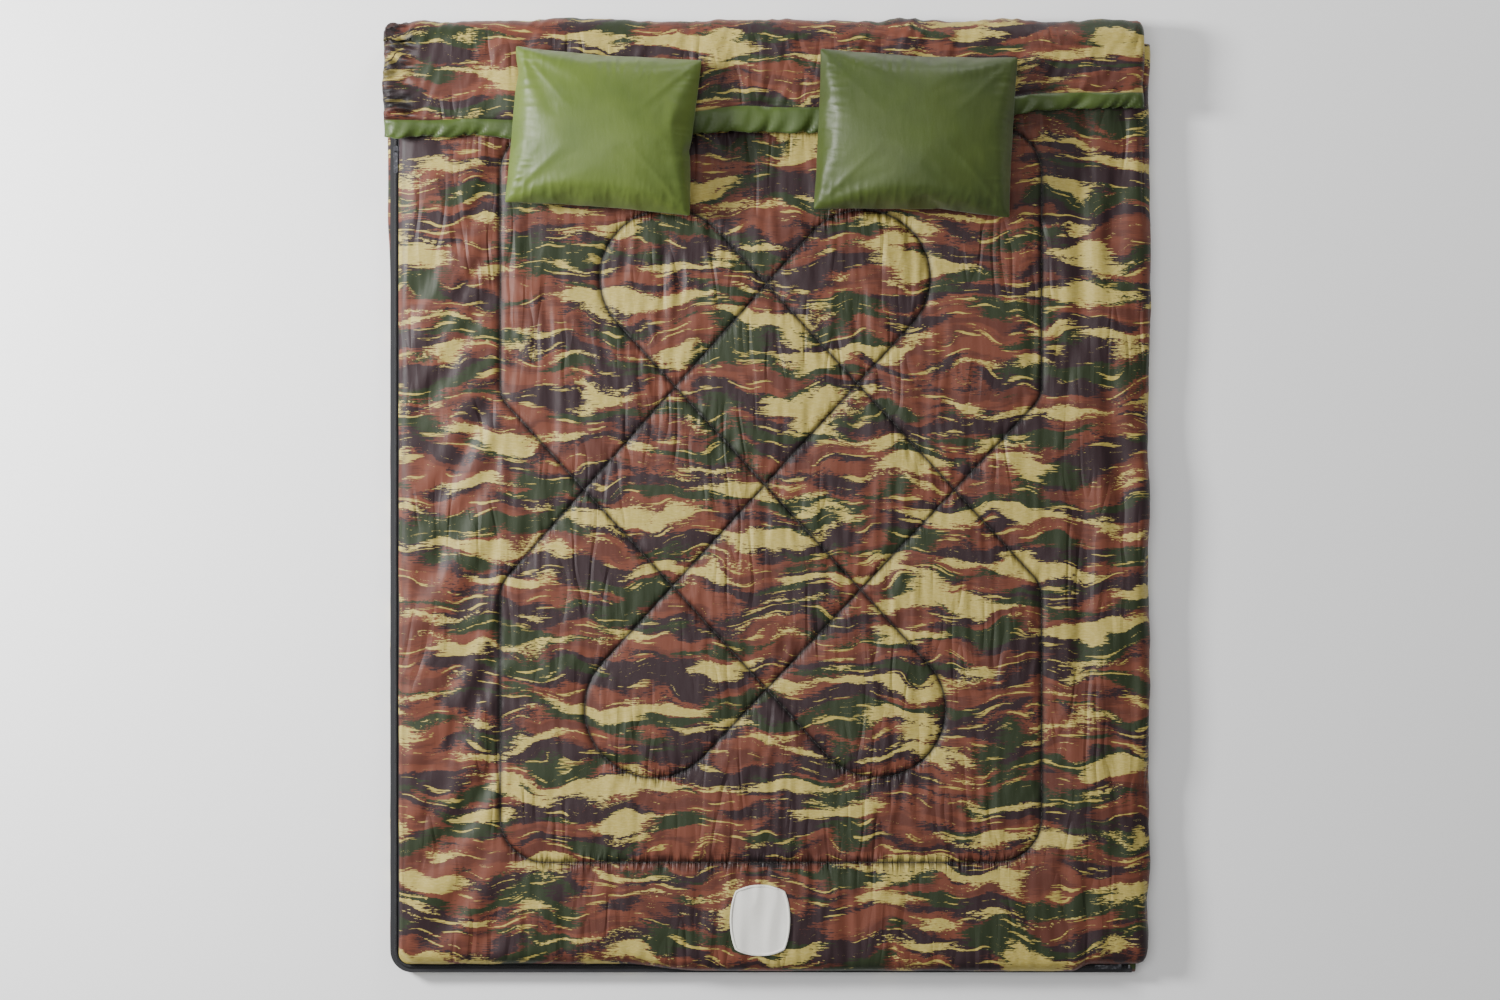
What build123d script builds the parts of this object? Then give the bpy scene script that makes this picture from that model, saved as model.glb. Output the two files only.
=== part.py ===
from build123d import *
import os
from math import atan2, cos, degrees, pi, sin

# Two-person rectangular sleeping bag, lying flat with its hood turned over and two pillows on it.
# Millimetres. Origin: middle of the whole outline, on the ground. +X is the folded (closed) side,
# -X the zipped side, +Y the head, +Z up.

# Overall
bag_width = 1520.0
bag_length = 1900.0
corner_radius = 45.0

# Quilt: outer fabric, batting and lining fabric, the same in every panel
fabric_t = 1.0
batting_t = 22.0
space_height = 14.0  # room left between the base and the cover

# Clearances
body_gap = 0.3  # between panels that turn against each other
laid_gap = 0.5  # between a soft piece and what it lies on
hem_gap = 0.2
run_gap = 0.4  # around the zip chain, inside a slider
pin_gap = 0.2  # around a slider's pin

# Hood: the base's extra length, turned over the cover's head end
hood_depth = 238.0
hood_roll_width = 32.0
mouth_inset = 5.0  # from the bend's centre back to the cover's head edge

# Zip: one chain round the open side and the foot
hem_t = 1.0
chain_inset = 13.0
cover_inset = 25.0
groove = 1.6
coil_width = 2.6
coil_height = 2.4
tape_t = 1.0
tape_rise = 5.0  # from the base's lining up to the tape
tape_spare = 8.0
zip_head_inset = 80.0
zip_right_inset = 45.0
stop_length = 4.0
stop_rise = 0.8

# Zip sliders and their pulls
slider_length = 24.0
slider_plate = 1.5
slider_wall = 1.2
post_width = 1.2
post_length = 6.0
ear_width = 1.2
ear_length = 4.0
ear_height = 3.4
pin_r = 0.8
pin_height = 2.0
eye_wall = 0.8
pull_width = 8.0
pull_t = 1.6
pull_neck = 4.6
pull_length = 42.0
pull_hole_r = 1.5
side_slider_inset = 22.0  # below the hood's free edge
foot_slider_inset = 70.0

# Cover corner that turns back over the cover: where its fold line starts and ends
turn_side_y = 0.0
turn_right_inset = 120.0
zip_turn_inset = 70.0  # the corner's zip starts this far past the line, to lift clear of the base's

# Blank patch on the foot end
patch_width = 118.0
patch_length = 140.0
patch_t = 1.0
patch_radius = 38.0
patch_x = -20.0
patch_foot_inset = 110.0

# Pillows: middle across and down from the head end, width, depth and turn of each
pillow_rise = 92.0
pillow_corner = 40.0
pillow_edge = 34.0
seam_width = 3.5
seam_t = 2.0
pillows = {
    "pillow_left": (-329.0, 230.0, 365.0, 306.0, -4.4),
    "pillow_right": (285.0, 234.0, 387.0, 313.0, -2.5),
}

# Levels and lines that follow from the sizes above
quilt_t = 2 * fabric_t + batting_t
base_top = quilt_t
cover_bottom = base_top + space_height
cover_top = cover_bottom + quilt_t
hood_bottom = cover_top + laid_gap
hood_top = hood_bottom + quilt_t
left = -bag_width / 2
right = bag_width / 2
foot = -bag_length / 2
head = bag_length / 2
panel_inset = hem_t + hem_gap
side_bend_r = space_height / 2
side_bend_x = right - side_bend_r - quilt_t
side_bend_z = base_top + side_bend_r
hood_bend_r = (hood_bottom - base_top) / 2
hood_bend_y = head - hood_bend_r - quilt_t
hood_bend_z = base_top + hood_bend_r
hood_edge = head - hood_depth
hood_left = left + panel_inset
flap_depth = hood_depth - hood_roll_width - hood_bend_r - quilt_t
cover_head = hood_bend_y - mouth_inset
tape_z = base_top + tape_rise
coil_z = tape_z + tape_t
base_chain_edge = chain_inset - groove / 2
cover_chain_edge = chain_inset + groove / 2
zip_head = head - zip_head_inset
zip_right = right - zip_right_inset
tape_right = zip_right + tape_spare
tape_head = zip_head + tape_spare
leg_edge = cover_inset + tape_t
coil_edge = cover_chain_edge + coil_width
turn_start = (left + cover_inset, turn_side_y)
turn_end = (right - turn_right_inset, foot + cover_inset)
turn_angle = degrees(atan2(turn_end[1] - turn_start[1], turn_end[0] - turn_start[0]))
diagonal = 45.0
reach = 2 * (bag_width + bag_length)

# Height of each layer within a panel, from the face that its outer fabric is on
layers = {
    "shell": (0.0, fabric_t),
    "batting": (fabric_t, fabric_t + batting_t),
    "lining": (fabric_t + batting_t, quilt_t),
}

os.makedirs("parts", exist_ok=True)


def panel_outline(inset, right_end, head_end):
    """A panel's outline, set in from the open side and the foot, with its free corner rounded."""
    with BuildSketch() as outline:
        with Locations((left + inset, foot + inset)):
            Rectangle(right_end - left - inset, head_end - foot - inset, align=(Align.MIN, Align.MIN))
        free_corner = outline.vertices().group_by(Axis.X)[0].sort_by(Axis.Y)[0]
        fillet(free_corner, corner_radius - inset)
    return outline.sketch


def half_plane(point, angle, upper):
    """Everything on one side of the line through a point."""
    with BuildSketch() as region:
        with Locations(point):
            edge = Align.MIN if upper else Align.MAX
            Rectangle(reach, reach, rotation=angle, align=(Align.CENTER, edge))
    return region.sketch


def beside_turn_line(upper, past):
    """The cover's side (upper) or the corner's side of a line past the fold line, half a gap off it."""
    shift = (body_gap / 2 if upper else -body_gap / 2) - past
    across = turn_angle * pi / 180 + pi / 2
    point = (turn_start[0] + shift * cos(across), turn_start[1] + shift * sin(across))
    return half_plane(point, turn_angle, upper)


def edge_strip(outer, inner, right_end, head_end, regions):
    """A strip along the open side and the foot, kept only inside the given regions."""
    with BuildSketch() as strip:
        add(panel_outline(outer, right_end, head_end))
        add(panel_outline(inner, right_end, head_end), mode=Mode.SUBTRACT)
        for region in regions:
            add(region, mode=Mode.INTERSECT)
    return strip.sketch


side_region = half_plane((left, foot), diagonal, True)
foot_region = half_plane((left, foot), diagonal, False)
runs = {"side": side_region, "foot": foot_region}
panel_regions = {"cover": beside_turn_line(True, 0.0), "corner": beside_turn_line(False, 0.0)}
zip_regions = {
    "cover": beside_turn_line(True, zip_turn_inset),
    "corner": beside_turn_line(False, zip_turn_inset),
}

# Base: shell on the ground, lining up
for layer, (low, high) in layers.items():
    with BuildPart() as base_layer:
        with BuildSketch(Plane.XY.offset(low)):
            add(panel_outline(panel_inset, side_bend_x, hood_bend_y))
        extrude(amount=high - low)
    base_layer.part.label = f"base_{layer}"
    export_step(base_layer.part, f"parts/base_{layer}.step")

# Cover: lining down, shell up, in a fixed part and the corner that turns back
for panel, region in panel_regions.items():
    for layer, (low, high) in layers.items():
        with BuildPart() as cover_layer:
            with BuildSketch(Plane.XY.offset(cover_top - high)):
                add(panel_outline(cover_inset, side_bend_x, cover_head))
                add(region, mode=Mode.INTERSECT)
            extrude(amount=high - low)
        cover_layer.part.label = f"{panel}_{layer}"
        export_step(cover_layer.part, f"parts/{panel}_{layer}.step")

# Closed side: the quilt bends round from the base to the cover
for layer, (low, high) in layers.items():
    with BuildPart() as side_fold:
        with BuildSketch(Plane.XZ.offset(-cover_head)):
            with Locations((side_bend_x, side_bend_z)):
                Circle(side_bend_r + quilt_t - low)
                Circle(side_bend_r + quilt_t - high, mode=Mode.SUBTRACT)
                Rectangle(reach, reach, align=(Align.MAX, Align.CENTER), mode=Mode.SUBTRACT)
        extrude(amount=cover_head - foot - panel_inset)
    side_fold.part.label = f"side_fold_{layer}"
    export_step(side_fold.part, f"parts/side_fold_{layer}.step")

# Hood: a bend round the head end, the flap and the lining rolled over its free edge
for layer, (low, high) in layers.items():
    with BuildPart() as hood_bend:
        with BuildSketch(Plane.YZ.offset(hood_left)):
            with Locations((hood_bend_y, hood_bend_z)):
                Circle(hood_bend_r + quilt_t - low)
                Circle(hood_bend_r + quilt_t - high, mode=Mode.SUBTRACT)
                Rectangle(reach, reach, align=(Align.MAX, Align.CENTER), mode=Mode.SUBTRACT)
        extrude(amount=side_bend_x - hood_left)
    hood_bend.part.label = f"hood_bend_{layer}"
    export_step(hood_bend.part, f"parts/hood_bend_{layer}.step")

    with BuildPart() as hood_flap:
        with BuildSketch(Plane.XY.offset(hood_top - high)):
            with Locations((hood_left, hood_edge + hood_roll_width)):
                Rectangle(side_bend_x - hood_left, flap_depth, align=(Align.MIN, Align.MIN))
        extrude(amount=high - low)
    hood_flap.part.label = f"hood_flap_{layer}"
    export_step(hood_flap.part, f"parts/hood_flap_{layer}.step")

with BuildPart() as hood_edge_roll:
    with BuildSketch(Plane.YZ.offset(hood_left)) as roll_section:
        with Locations((hood_edge, hood_bottom)):
            Rectangle(hood_roll_width, quilt_t, align=(Align.MIN, Align.MIN))
        fillet(roll_section.vertices().group_by(Axis.Y)[0], quilt_t / 2 - fabric_t)
    extrude(amount=side_bend_x - hood_left)
hood_edge_roll.part.label = "hood_edge_roll"
export_step(hood_edge_roll.part, "parts/hood_edge_roll.step")

# Binding on the cover's head edge
with BuildPart() as cover_head_hem:
    with BuildSketch(Plane.XY.offset(cover_bottom)):
        with Locations((left + cover_inset, cover_head)):
            Rectangle(side_bend_x - left - cover_inset, hem_t, align=(Align.MIN, Align.MIN))
    extrude(amount=quilt_t)
cover_head_hem.part.label = "cover_head_hem"
export_step(cover_head_hem.part, "parts/cover_head_hem.step")

# Hem, zip tape and coil on the base's open edges
for run, region in runs.items():
    with BuildPart() as base_hem:
        with BuildSketch():
            add(edge_strip(0.0, hem_t, side_bend_x, hood_bend_y, [region]))
        extrude(amount=tape_z)
    base_hem.part.label = f"base_{run}_hem"
    export_step(base_hem.part, f"parts/base_{run}_hem.step")

    with BuildPart() as base_tape:
        with BuildSketch(Plane.XY.offset(base_top)):
            add(edge_strip(panel_inset, panel_inset + tape_t, tape_right, tape_head, [region]))
        extrude(amount=tape_rise)
        with BuildSketch(Plane.XY.offset(tape_z)):
            add(edge_strip(panel_inset, base_chain_edge, tape_right, tape_head, [region]))
        extrude(amount=tape_t)
    base_tape.part.label = f"base_{run}_zip_tape"
    export_step(base_tape.part, f"parts/base_{run}_zip_tape.step")

    with BuildPart() as base_coil:
        with BuildSketch(Plane.XY.offset(coil_z)):
            add(edge_strip(base_chain_edge - coil_width, base_chain_edge, zip_right, zip_head, [region]))
        extrude(amount=coil_height)
    base_coil.part.label = f"base_{run}_zip_coil"
    export_step(base_coil.part, f"parts/base_{run}_zip_coil.step")

    # The cover's half of the zip, in the same two parts as the cover
    for panel, part_region in zip_regions.items():
        with BuildPart() as cover_tape:
            with BuildSketch(Plane.XY.offset(tape_z)):
                add(edge_strip(cover_inset, leg_edge, tape_right, tape_head, [region, part_region]))
            extrude(amount=cover_bottom - tape_z)
            with BuildSketch(Plane.XY.offset(tape_z)):
                add(edge_strip(cover_chain_edge, leg_edge, tape_right, tape_head, [region, part_region]))
            extrude(amount=tape_t)
        cover_tape.part.label = f"{panel}_{run}_zip_tape"
        export_step(cover_tape.part, f"parts/{panel}_{run}_zip_tape.step")

        with BuildPart() as cover_coil:
            with BuildSketch(Plane.XY.offset(coil_z)):
                add(edge_strip(cover_chain_edge, coil_edge, zip_right, zip_head, [region, part_region]))
            extrude(amount=coil_height)
        cover_coil.part.label = f"{panel}_{run}_zip_coil"
        export_step(cover_coil.part, f"parts/{panel}_{run}_zip_coil.step")

# Stops: one on each coil at the head end, and one across both at the end of the foot
with BuildPart() as zip_head_stops:
    with BuildSketch(Plane.XY.offset(coil_z)):
        for inset in (base_chain_edge - coil_width, cover_chain_edge):
            with Locations((left + inset, zip_head)):
                Rectangle(coil_width, stop_length, align=(Align.MIN, Align.MIN))
    extrude(amount=coil_height + stop_rise)
zip_head_stops.part.label = "zip_head_stops"
export_step(zip_head_stops.part, "parts/zip_head_stops.step")

with BuildPart() as zip_foot_stop:
    with BuildSketch(Plane.XY.offset(coil_z)):
        with Locations((zip_right, foot + chain_inset)):
            Rectangle(stop_length, groove + 2 * coil_width, align=(Align.MIN, Align.CENTER))
    extrude(amount=coil_height + stop_rise)
zip_foot_stop.part.label = "zip_foot_stop"
export_step(zip_foot_stop.part, "parts/zip_foot_stop.step")

# Sliders: local +Y runs along the chain towards the closed end, local X across it
slider_planes = {
    "side": Plane((left + chain_inset, hood_edge - side_slider_inset, 0), (1, 0, 0), (0, 0, 1)),
    "foot": Plane((right - foot_slider_inset, foot + chain_inset, 0), (0, -1, 0), (0, 0, 1)),
}
channel_half = groove / 2 + coil_width + run_gap
slider_width = 2 * (channel_half + slider_wall)
lower_plate_z = tape_z - run_gap - slider_plate
flange_z = coil_z + run_gap / 2
upper_plate_z = coil_z + coil_height + run_gap
ear_z = upper_plate_z + slider_plate
pin_z = ear_z + pin_height
eye_r = pin_r + pin_gap + eye_wall
eye_half = slider_width / 2 - ear_width - ear_width - body_gap
ear_x = eye_half + body_gap + ear_width / 2
neck_start = pin_r + pin_gap + eye_wall / 2
blade_length = pull_length - pull_neck

for run, plane in slider_planes.items():
    with BuildPart() as slider_body:
        with BuildSketch(plane.offset(lower_plate_z)):
            RectangleRounded(slider_width, slider_length, slider_width / 4)
        extrude(amount=slider_plate)
        with BuildSketch(plane.offset(upper_plate_z)):
            RectangleRounded(slider_width, slider_length, slider_width / 4)
        extrude(amount=slider_plate)
        with BuildSketch(plane.offset(flange_z)):
            flange_x = channel_half + slider_wall / 2
            with Locations((-flange_x, 0), (flange_x, 0)):
                Rectangle(slider_wall, slider_length - slider_width / 2)
        extrude(amount=upper_plate_z - flange_z)
        with BuildSketch(plane.offset(lower_plate_z + slider_plate)):
            with Locations((0, slider_length / 2 - post_length)):
                Rectangle(post_width, post_length)
        extrude(amount=upper_plate_z - lower_plate_z - slider_plate)
        with BuildSketch(plane.offset(ear_z)):
            with Locations((-ear_x, 0), (ear_x, 0)):
                Rectangle(ear_width, ear_length)
        extrude(amount=ear_height)
        pin_plane = Plane(origin=plane.origin, x_dir=plane.y_dir, z_dir=plane.x_dir)
        with BuildSketch(pin_plane):
            with Locations((0, pin_z)):
                Circle(pin_r)
        extrude(amount=ear_x, both=True)
    slider_body.part.label = f"{run}_slider"
    export_step(slider_body.part, f"parts/{run}_slider.step")

    with BuildPart() as pull_tab:
        with BuildSketch(pin_plane):
            with Locations((0, pin_z)):
                Circle(eye_r)
                Circle(pin_r + pin_gap, mode=Mode.SUBTRACT)
        extrude(amount=eye_half, both=True)
        with BuildSketch(plane.offset(pin_z - pull_t / 2)):
            with Locations((0, -neck_start)):
                Rectangle(2 * eye_half, pull_neck - neck_start, align=(Align.CENTER, Align.MAX))
            with Locations((0, -pull_neck - blade_length / 2)):
                RectangleRounded(pull_width, blade_length, pull_width / 4)
            with Locations((0, pull_width / 2 - pull_length)):
                Circle(pull_hole_r, mode=Mode.SUBTRACT)
        extrude(amount=pull_t)
    pull_tab.part.label = f"{run}_pull_tab"
    export_step(pull_tab.part, f"parts/{run}_pull_tab.step")

# Blank patch on the corner that turns back
with BuildPart() as foot_patch:
    with BuildSketch(Plane.XY.offset(cover_top)):
        with Locations((patch_x, foot + patch_foot_inset)):
            RectangleRounded(patch_width, patch_length, patch_radius)
    extrude(amount=patch_t)
foot_patch.part.label = "foot_patch"
export_step(foot_patch.part, "parts/foot_patch.step")


def pillow_block(size, inset):
    """A pillow's block, stepped where it lies over the hood's edge; inset shrinks every face."""
    middle_x, from_head, width, depth, turn = size
    bottom = cover_top + laid_gap + inset
    top = hood_top + pillow_rise - inset
    with BuildPart() as block:
        with BuildSketch(Plane.XY.offset(bottom)):
            with Locations(Location((middle_x, head - from_head, 0), (0, 0, turn))):
                RectangleRounded(width - 2 * inset, depth - 2 * inset, pillow_corner - inset)
        extrude(amount=top - bottom)
        fillet(block.edges().group_by(Axis.Z)[-1], pillow_edge - inset)
        with BuildSketch(Plane.XY):
            with Locations((0, hood_edge - laid_gap - inset)):
                Rectangle(reach, reach, align=(Align.CENTER, Align.MIN))
        extrude(amount=hood_top + laid_gap + inset, mode=Mode.SUBTRACT)
    return block.part


# Pillows: a cover sewn round a filling, with the seam standing out at mid-height
for pillow, size in pillows.items():
    with BuildPart() as pillow_cover:
        add(pillow_block(size, 0.0))
        add(pillow_block(size, fabric_t), mode=Mode.SUBTRACT)
    pillow_cover.part.label = f"{pillow}_cover"
    export_step(pillow_cover.part, f"parts/{pillow}_cover.step")

    with BuildPart() as pillow_filling:
        add(pillow_block(size, fabric_t + body_gap))
    pillow_filling.part.label = f"{pillow}_filling"
    export_step(pillow_filling.part, f"parts/{pillow}_filling.step")

    middle_x, from_head, width, depth, turn = size
    outer_width = width + 2 * seam_width
    outer_depth = depth + 2 * seam_width
    inner_width = width + 2 * body_gap
    inner_depth = depth + 2 * body_gap
    with BuildPart() as pillow_seam:
        with BuildSketch(Plane.XY.offset(hood_top + pillow_rise / 2 - seam_t / 2)):
            with Locations(Location((middle_x, head - from_head, 0), (0, 0, turn))):
                RectangleRounded(outer_width, outer_depth, pillow_corner + seam_width)
                RectangleRounded(inner_width, inner_depth, pillow_corner + body_gap, mode=Mode.SUBTRACT)
        extrude(amount=seam_t)
    pillow_seam.part.label = f"{pillow}_seam"
    export_step(pillow_seam.part, f"parts/{pillow}_seam.step")
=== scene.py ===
import math

import bmesh
import bpy
import numpy as np
from mathutils import Euler, Matrix, Vector, kdtree, noise
from mathutils.bvhtree import BVHTree


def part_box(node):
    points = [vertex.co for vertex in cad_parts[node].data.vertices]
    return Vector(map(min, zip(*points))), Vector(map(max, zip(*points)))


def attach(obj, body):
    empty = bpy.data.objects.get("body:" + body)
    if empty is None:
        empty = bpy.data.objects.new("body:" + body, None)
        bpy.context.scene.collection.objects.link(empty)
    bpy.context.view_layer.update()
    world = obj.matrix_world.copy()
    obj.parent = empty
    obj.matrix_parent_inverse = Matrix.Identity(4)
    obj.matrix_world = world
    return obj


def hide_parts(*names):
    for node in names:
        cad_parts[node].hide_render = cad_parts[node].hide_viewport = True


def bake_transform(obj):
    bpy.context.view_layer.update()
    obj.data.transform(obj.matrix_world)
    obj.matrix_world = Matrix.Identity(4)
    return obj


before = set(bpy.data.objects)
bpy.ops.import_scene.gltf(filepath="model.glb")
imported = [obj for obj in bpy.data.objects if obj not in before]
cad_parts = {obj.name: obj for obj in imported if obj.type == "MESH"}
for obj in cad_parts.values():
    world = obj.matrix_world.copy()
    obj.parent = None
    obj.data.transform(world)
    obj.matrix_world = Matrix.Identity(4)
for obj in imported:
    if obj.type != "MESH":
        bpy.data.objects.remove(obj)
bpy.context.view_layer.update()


# small helpers

def eased(t):
    t = min(max(t, 0.0), 1.0)
    return t * t * (3 - 2 * t)


def rough(x, y, xSize, ySize, seed):
    return noise.noise(Vector((x / xSize, y / ySize, seed)))


def ridged(x, y, xSize, ySize, seed):
    return 0.35 - abs(rough(x, y, xSize, ySize, seed)) * 1.6


def corners(*nodes):
    # the box round several CAD nodes
    lows = [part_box(node)[0] for node in nodes]
    highs = [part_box(node)[1] for node in nodes]
    low = Vector(min(point[axis] for point in lows) for axis in range(3))
    high = Vector(max(point[axis] for point in highs) for axis in range(3))
    return low, high


def placed(name, bm, *materials):
    mesh = bpy.data.meshes.new(name)
    bm.to_mesh(mesh)
    bm.free()
    mesh.shade_smooth()
    for material in materials:
        mesh.materials.append(material)
    piece = bpy.data.objects.new(name, mesh)
    bpy.context.scene.collection.objects.link(piece)
    return piece


def applied(piece):
    # the piece's modifiers become part of its mesh
    bpy.context.view_layer.update()
    depsgraph = bpy.context.evaluated_depsgraph_get()
    mesh = bpy.data.meshes.new_from_object(piece.evaluated_get(depsgraph))
    piece.modifiers.clear()
    piece.data = mesh
    return piece


def flatGrid(left, foot, width, length, spacing):
    bm = bmesh.new()
    columns = max(2, round(width / spacing))
    rows = max(2, round(length / spacing))
    bmesh.ops.create_grid(bm, x_segments=columns, y_segments=rows, size=0.5)
    bmesh.ops.scale(bm, vec=(width, length, 1), verts=bm.verts)
    bmesh.ops.translate(bm, vec=(left + width / 2, foot + length / 2, 0), verts=bm.verts)
    return bm


def writeClothPlace(piece, places, shades=None, gathers=None):
    # where each point lay on the flat cloth, which the print follows, how strong the painted shade of its
    # sewn creases is, and where it is gathered (painted shade and bump of the pleats)
    attribute = piece.data.attributes.new("clothPlace", "FLOAT_VECTOR", "POINT")
    attribute.data.foreach_set("vector", np.array(places, np.float32).ravel())
    for name, values in (("sewnShade", shades), ("gather", gathers)):
        attribute = piece.data.attributes.new(name, "FLOAT", "POINT")
        attribute.data.foreach_set("value", np.array(values or [0.0] * len(places), np.float32))


def joinedBelow(bm, under):
    # another open sheet is added and walled to this one all round
    holder = bpy.data.meshes.new("under")
    under.to_mesh(holder)
    under.free()
    bm.from_mesh(holder)
    bpy.data.meshes.remove(holder)
    walls = bmesh.ops.bridge_loops(bm, edges=[edge for edge in bm.edges if edge.is_boundary])
    for face in walls["faces"]:
        face.material_index = 0
    bmesh.ops.recalc_face_normals(bm, faces=bm.faces)


def simulated(bm, pins, settings):
    # the cloth is blown up in a copy, and only how far each point moved is kept, up to a cap
    before = np.array([vert.co for vert in bm.verts], float)
    mesh = bpy.data.meshes.new("simulated")
    bm.to_mesh(mesh)
    copy = bpy.data.objects.new("simulated", mesh)
    bpy.context.scene.collection.objects.link(copy)
    modifier = copy.modifiers.new("puffing", "CLOTH")
    cloth = modifier.settings
    cloth.quality = settings["quality"]
    cloth.mass = settings["mass"]
    cloth.use_pressure = True
    cloth.uniform_pressure_force = settings["pressure"]
    if "volume" in settings:
        cloth.use_pressure_volume = True
        cloth.target_volume = settings["volume"]
    cloth.shrink_min = settings["shrink"]
    cloth.bending_stiffness = settings["bending"]
    cloth.effector_weights.gravity = 0
    if pins:
        group = copy.vertex_groups.new(name="sewn")
        group.add(pins, 1.0, "REPLACE")
        cloth.vertex_group_mass = "sewn"
    modifier.collision_settings.use_collision = False
    for step in range(1, settings["frames"] + 1):
        bpy.context.scene.frame_set(step)
    depsgraph = bpy.context.evaluated_depsgraph_get()
    result = copy.evaluated_get(depsgraph).data
    after = np.zeros(len(result.vertices) * 3, np.float32)
    result.vertices.foreach_get("co", after)
    moved = after.reshape(-1, 3) - before
    bpy.data.objects.remove(copy)
    bpy.context.scene.frame_set(1)
    reach = np.linalg.norm(moved, axis=1)
    moved *= (np.minimum(reach, settings["cap"]) / np.maximum(reach, 1e-9))[:, None]
    return moved


# materials

def shade(red, green, blue):
    # a colour as a screen shows it, from 0 to 255, made linear
    values = [channel / 255 for channel in (red, green, blue)]
    return tuple(c / 12.92 if c < 0.04045 else ((c + 0.055) / 1.055) ** 2.4 for c in values) + (1.0,)


def startMaterial(name, roughness, sheen=0.0, metallic=0.0, specular=0.5):
    material = bpy.data.materials.new(name)
    material.use_nodes = True
    tree = material.node_tree
    shader = tree.nodes["Principled BSDF"]
    shader.inputs["Roughness"].default_value = roughness
    shader.inputs["Metallic"].default_value = metallic
    shader.inputs["Sheen Weight"].default_value = sheen
    shader.inputs["Sheen Roughness"].default_value = 0.4
    shader.inputs["Specular IOR Level"].default_value = specular
    return material, tree, shader


def place(tree, scale, offset=(0, 0, 0), turn=0.0, source=None):
    # coordinates for a pattern: the cloth's own places, or the object's
    mapping = tree.nodes.new("ShaderNodeMapping")
    mapping.inputs["Scale"].default_value = scale
    mapping.inputs["Location"].default_value = offset
    mapping.inputs["Rotation"].default_value = (0, 0, turn)
    if source is None:
        source = tree.nodes.new("ShaderNodeTexCoord").outputs["Object"]
    tree.links.new(source, mapping.inputs["Vector"])
    return mapping.outputs["Vector"]


def fromMesh(tree, name, output="Fac"):
    attribute = tree.nodes.new("ShaderNodeAttribute")
    attribute.attribute_name = name
    return attribute.outputs[output]


def noisy(tree, vector, scale=1.0, detail=2.0, roughness=0.5, distortion=0.0):
    texture = tree.nodes.new("ShaderNodeTexNoise")
    texture.inputs["Scale"].default_value = scale
    texture.inputs["Detail"].default_value = detail
    texture.inputs["Roughness"].default_value = roughness
    texture.inputs["Distortion"].default_value = distortion
    tree.links.new(vector, texture.inputs["Vector"])
    return texture.outputs["Fac"]


def banded(tree, vector, scale, distortion=0.0, direction="X"):
    texture = tree.nodes.new("ShaderNodeTexWave")
    texture.bands_direction = direction
    texture.inputs["Scale"].default_value = scale
    texture.inputs["Distortion"].default_value = distortion
    tree.links.new(vector, texture.inputs["Vector"])
    return texture.outputs["Fac"]


def woven(tree, vector, scale, distortion):
    warp = banded(tree, vector, scale, distortion)
    return maths(tree, "ADD", warp, banded(tree, vector, scale, distortion, "Y"))


def maths(tree, operation, first, second):
    node = tree.nodes.new("ShaderNodeMath")
    node.operation = operation
    for socket, value in zip(node.inputs, (first, second)):
        if isinstance(value, (int, float)):
            socket.default_value = value
        else:
            tree.links.new(value, socket)
    return node.outputs["Value"]


def stretched(tree, value, low, high, newLow=0.0, newHigh=1.0):
    node = tree.nodes.new("ShaderNodeMapRange")
    for name, number in (("From Min", low), ("From Max", high), ("To Min", newLow), ("To Max", newHigh)):
        node.inputs[name].default_value = number
    tree.links.new(value, node.inputs["Value"])
    return node.outputs["Result"]


def mixedColour(tree, factor, first, second, blend="MIX"):
    node = tree.nodes.new("ShaderNodeMix")
    node.data_type = "RGBA"
    node.blend_type = blend
    for key, value in (("Factor", factor), (6, first), (7, second)):
        socket = node.inputs[key]
        if isinstance(value, (tuple, float)):
            socket.default_value = value
        else:
            tree.links.new(value, socket)
    return node.outputs[2]


def bumped(tree, height, distance, strength=1.0, after=None):
    node = tree.nodes.new("ShaderNodeBump")
    node.inputs["Distance"].default_value = distance
    node.inputs["Strength"].default_value = strength
    tree.links.new(height, node.inputs["Height"])
    if after is not None:
        tree.links.new(after, node.inputs["Normal"])
    return node.outputs["Normal"]


camo = {
    "khaki": shade(166, 149, 76),
    "khakiLight": shade(182, 166, 97),
    "brown": shade(104, 57, 42),
    "brownDark": shade(84, 45, 35),
    "plum": shade(44, 29, 32),
    "green": shade(39, 47, 27),
    "blotch": (5.2, 18.5, 18.5),  # blotches per metre along and across the streaks
    "plumShare": 0.515,
    "greenShare": 0.555,
    "khakiShare": 0.582,
    # crease: the colour of the painted shade laid into the sewn creases and gathered pleats
    "crease": (0.05, 0.045, 0.05, 1.0),
    "roughness": 0.47,
    "sheen": 0.02,
}


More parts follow.
